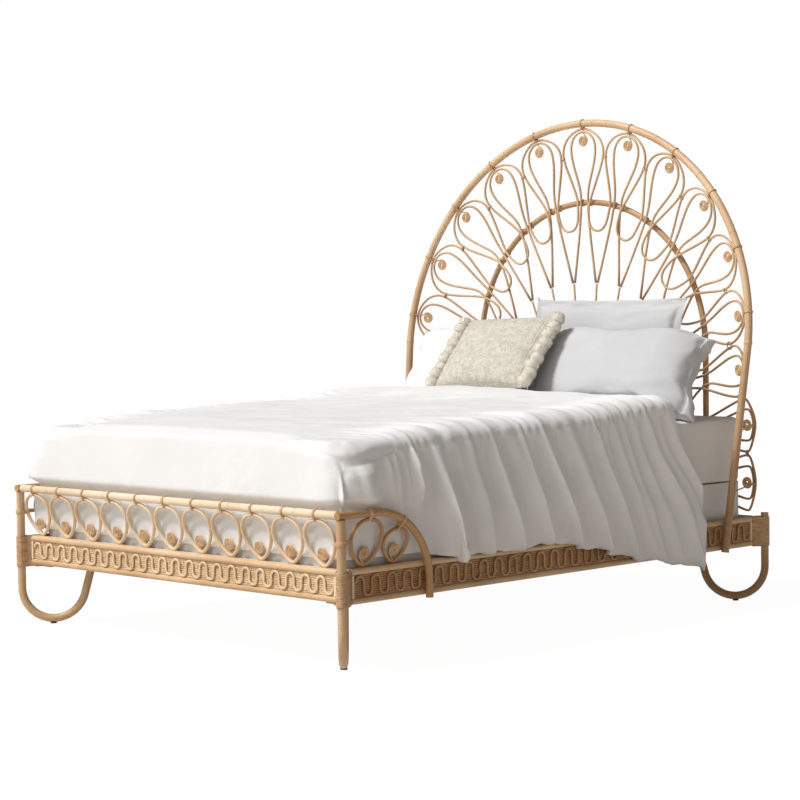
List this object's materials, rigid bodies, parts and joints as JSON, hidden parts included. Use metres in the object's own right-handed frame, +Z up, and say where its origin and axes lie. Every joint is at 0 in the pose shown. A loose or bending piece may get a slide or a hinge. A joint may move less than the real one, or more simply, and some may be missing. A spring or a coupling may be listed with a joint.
{
  "type": "rattan bed",
  "caption": "Rattan bed with a petal headboard under a double arch, a looped footboard and a woven apron, dressed with mattress, duvet, pillows and a knitted cushion.",
  "frame": {"origin": "centre of the bed on the floor", "axes": "+X to the right seen from the foot, +Y from the foot to the headboard, +Z up"},
  "size_m": [1.7353, 2.1668, 1.8065],
  "materials": {
    "rattan": "satin",
    "woven_cane": "matte",
    "cane_binding": "satin",
    "frame_wood": "matte",
    "steel": "satin",
    "brass_insert": "satin",
    "glide": "matte",
    "foundation_cover": "matte",
    "sheet": "matte",
    "duvet_linen": "matte",
    "pillow_cotton": "matte",
    "knit": "matte",
    "pompom_yarn": "matte"
  },
  "bodies": {
    "frame": {"foot_apron": "rattan", "head_apron": "rattan", "side_apron_left": "rattan", "side_apron_right": "rattan", "foot_weave": "woven_cane", "head_weave": "woven_cane", "side_weave_left": "woven_cane", "side_weave_right": "woven_cane", "foot_wave_reed": "rattan", "side_wave_reed_left": "rattan", "side_wave_reed_right": "rattan", "apron_upper_trims": "rattan", "apron_lower_trims": "rattan", "apron_end_strips": "rattan", "corner_stiles": "rattan", "corner_leg_front_left": "rattan", "corner_leg_front_right": "rattan", "corner_leg_rear_left": "rattan", "corner_leg_rear_right": "rattan", "leg_glides": "glide", "corner_blocks": "frame_wood", "corner_plates": "frame_wood", "corner_bolts": "steel", "leg_screws": "steel", "corner_bindings": "cane_binding", "foot_rail": "rattan", "arm_left": "rattan", "arm_right": "rattan", "rail_dowels": "frame_wood", "foot_loops": "rattan", "wing_loops": "rattan", "foot_spirals": "rattan", "foot_ties": "cane_binding", "headboard_arch": "rattan", "inner_arch": "cane_binding", "hub_arch": "cane_binding", "petal_reeds_outer": "rattan", "petal_reeds_inner": "rattan", "spoke_stems": "rattan", "petal_spirals": "rattan", "arch_ties": "cane_binding", "inner_arch_ties": "cane_binding", "shoulder_ties": "cane_binding", "arch_stays": "cane_binding", "pole_bolts": "steel", "threaded_inserts": "brass_insert", "arch_dowels": "frame_wood", "slat_ledgers": "frame_wood", "center_beam": "steel", "beam_hangers": "steel", "slats": "frame_wood", "slat_screws": "steel"},
    "mattress_set": {"foundation": "foundation_cover", "mattress": "sheet", "duvet": "duvet_linen"},
    "rear_sham": {"rear_sham": "pillow_cotton"},
    "left_pillow": {"left_pillow": "pillow_cotton"},
    "front_pillow": {"front_pillow": "pillow_cotton"},
    "cushion": {"cushion": "knit", "pompoms": "pompom_yarn"}
  },
  "joints": [
    {"name": "lift_mattress_set", "type": "slide", "parent": "frame", "child": "mattress_set", "axis": [0, 0, 1], "range_m": [0, 0.05]},
    {"name": "lift_rear_sham", "type": "slide", "parent": "mattress_set", "child": "rear_sham", "axis": [0, 0, 1], "range_m": [0, 0.12]},
    {"name": "lift_left_pillow", "type": "slide", "parent": "rear_sham", "child": "left_pillow", "axis": [0, 0, 1], "range_m": [0, 0.12]},
    {"name": "lift_front_pillow", "type": "slide", "parent": "left_pillow", "child": "front_pillow", "axis": [0, 0, 1], "range_m": [0, 0.12]},
    {"name": "lift_cushion", "type": "slide", "parent": "front_pillow", "child": "cushion", "axis": [0, 0, 1], "range_m": [0, 0.12]}
  ]
}
